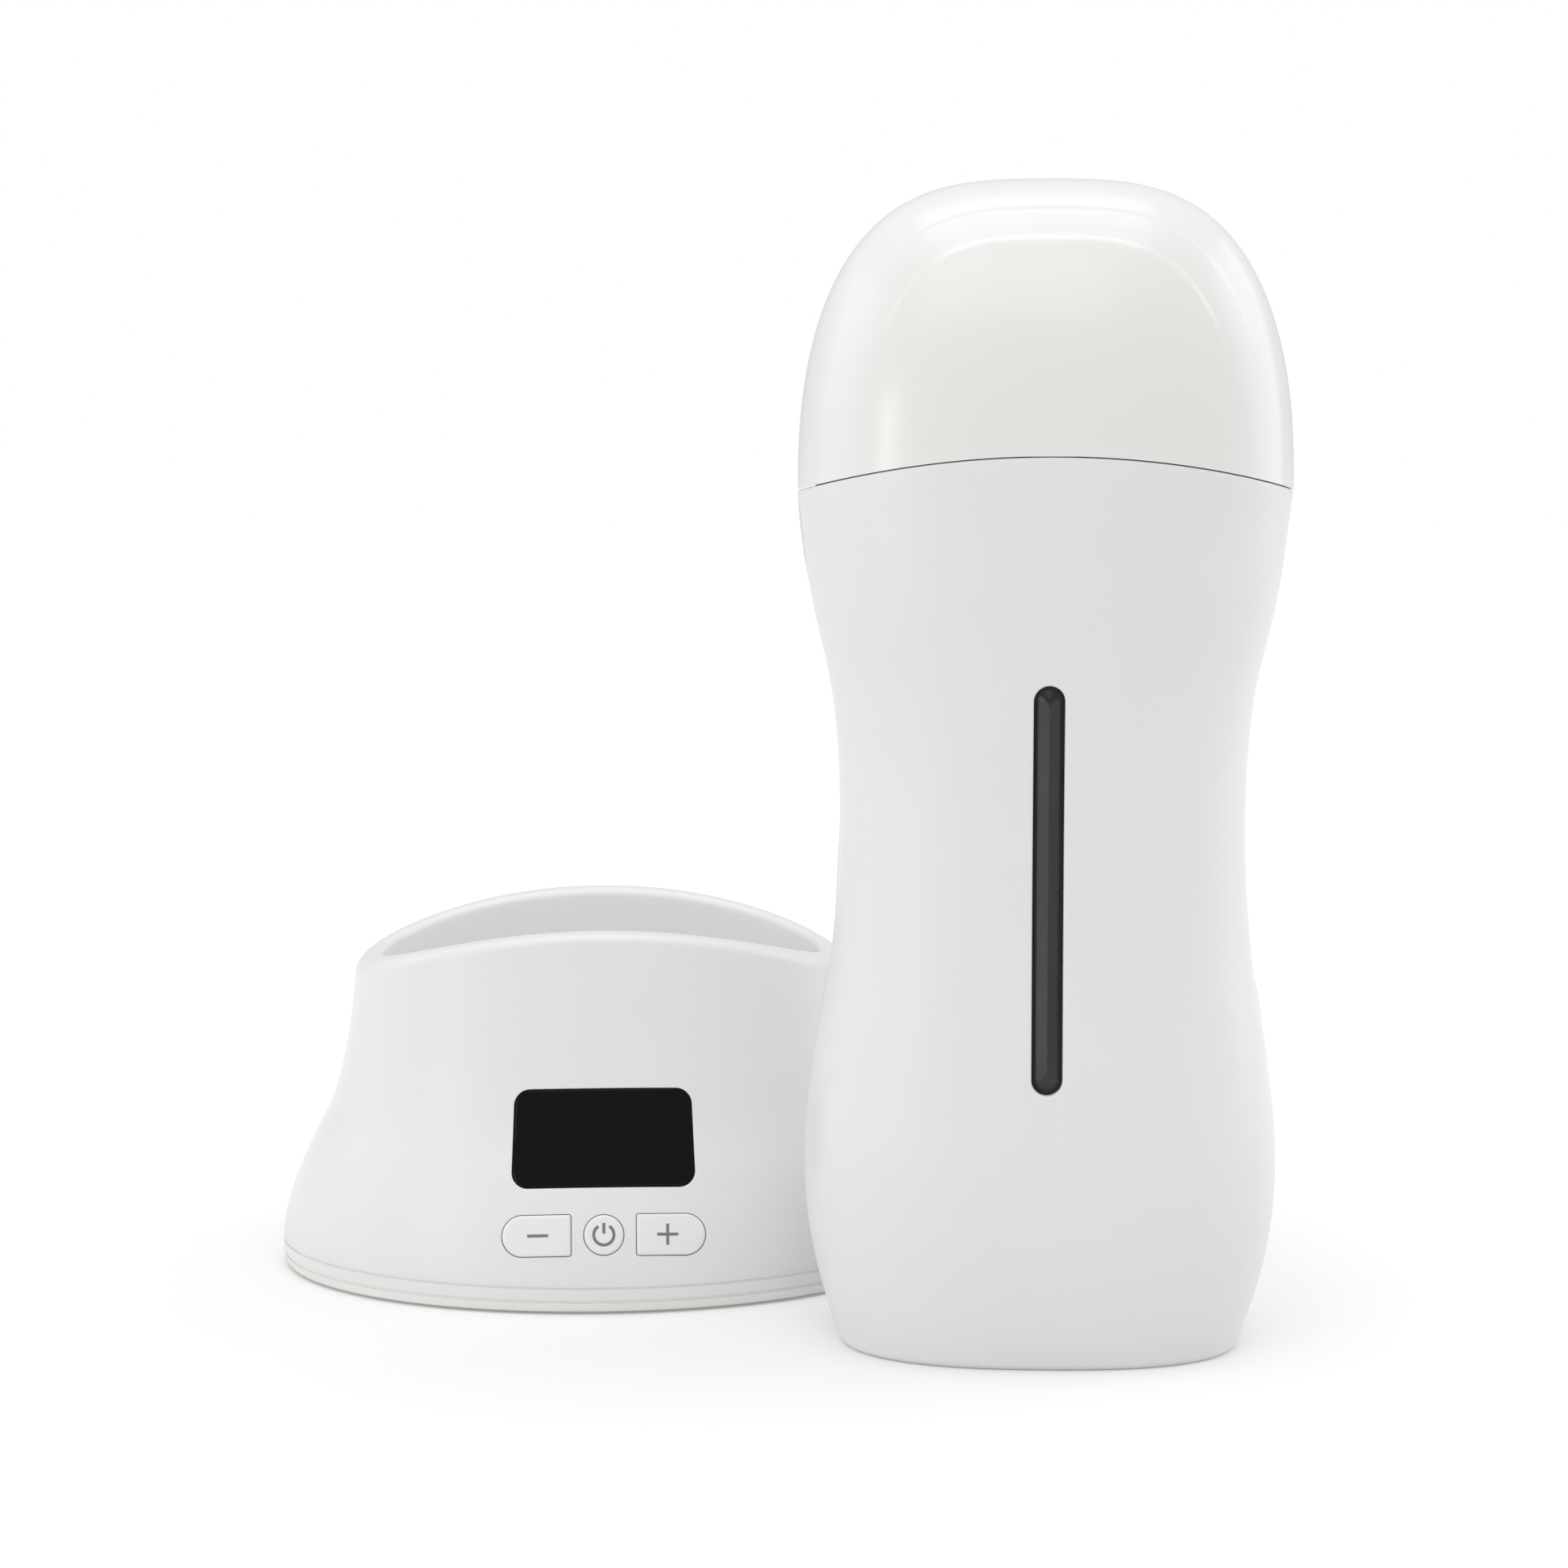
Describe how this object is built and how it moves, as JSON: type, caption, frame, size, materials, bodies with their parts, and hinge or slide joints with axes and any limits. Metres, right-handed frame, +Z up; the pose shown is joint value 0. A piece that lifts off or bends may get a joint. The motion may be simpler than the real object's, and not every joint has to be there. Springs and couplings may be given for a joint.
{
  "type": "roll-on wax heater",
  "caption": "Roll-on wax heater: a capped waisted handpiece with a sight slot, beside an arched docking base with a dark display and a row of keys.",
  "frame": {"origin": "middle of the underside of the box round both units, on the table", "axes": "+Z up from the table; -Y is the front, where the keys and the display face; +X is the user's right, on whose side the handpiece stands"},
  "size_m": [0.1708, 0.1306, 0.19],
  "materials": {
    "white_abs": "satin",
    "frosted_cap": "satin frosted",
    "key_white": "satin",
    "black_gloss": "high gloss",
    "smoked_window": "gloss, smoked",
    "inner_white": "moulded",
    "dark_rubber": "matte",
    "screw_steel": "zinc plated",
    "board_green": "solder mask",
    "component_black": "moulded",
    "gilt_brass": "gilt",
    "can_aluminium": "drawn",
    "heater_grey": "polyimide wrapped",
    "clamp_steel": "rolled",
    "lead_insulation": "silicone",
    "ribbon_grey": "flat cable",
    "display_dark": "glass covered"
  },
  "bodies": {
    "base": {"base_housing": "white_abs", "trim_ring": "white_abs", "bottom_cover": "white_abs", "rubber_feet": "dark_rubber", "cover_screws": "screw_steel", "display_window": "black_gloss", "display_module": "display_dark", "display_header": "component_black", "control_pcb": "board_green", "panel_screws": "screw_steel", "tact_switches": "component_black", "main_pcb": "board_green", "pcb_screws": "screw_steel", "dc_inlet": "component_black", "inlet_pin": "gilt_brass", "filter_capacitor": "can_aluminium", "power_transistor": "component_black", "control_chip": "component_black", "ribbon_cable": "ribbon_grey", "contact_block": "inner_white"},
    "key_minus": {"button_minus": "key_white"},
    "key_power": {"button_power": "key_white"},
    "key_plus": {"button_plus": "key_white"},
    "pin_left": {"contact_pin_left": "gilt_brass"},
    "pin_right": {"contact_pin_right": "gilt_brass"},
    "handpiece": {"front_shell": "white_abs", "rear_shell": "white_abs", "shell_screws": "screw_steel", "sight_window": "smoked_window", "neck_collar": "inner_white", "heating_chamber": "can_aluminium", "chamber_cradle": "inner_white", "ptc_heaters": "heater_grey", "heater_clamp": "clamp_steel", "thermostat": "component_black", "thermal_fuse": "gilt_brass", "heater_leads": "lead_insulation", "foot_cover": "inner_white", "contact_board": "board_green", "contact_pads": "gilt_brass"},
    "cap": {"cap": "frosted_cap"}
  },
  "joints": [
    {"name": "minus_press", "type": "slide", "parent": "base", "child": "key_minus", "axis": [0, 0.957, -0.29], "range_m": [0, 0.0005], "stiffness_N_per_m": 600},
    {"name": "power_press", "type": "slide", "parent": "base", "child": "key_power", "axis": [0, 0.957, -0.29], "range_m": [0, 0.0005], "stiffness_N_per_m": 600},
    {"name": "plus_press", "type": "slide", "parent": "base", "child": "key_plus", "axis": [0, 0.957, -0.29], "range_m": [0, 0.0005], "stiffness_N_per_m": 600},
    {"name": "pin_left_press", "type": "slide", "parent": "base", "child": "pin_left", "axis": [0, 0, -1], "range_m": [0, 0.0013], "stiffness_N_per_m": 250},
    {"name": "pin_right_press", "type": "slide", "parent": "base", "child": "pin_right", "axis": [0, 0, -1], "range_m": [0, 0.0013], "stiffness_N_per_m": 250},
    {"name": "handpiece_lift", "type": "slide", "parent": "base", "child": "handpiece", "axis": [0, 0, 1], "range_m": [0, 0.12]},
    {"name": "cap_lift", "type": "slide", "parent": "handpiece", "child": "cap", "axis": [0, 0, 1], "range_m": [0, 0.06]}
  ]
}
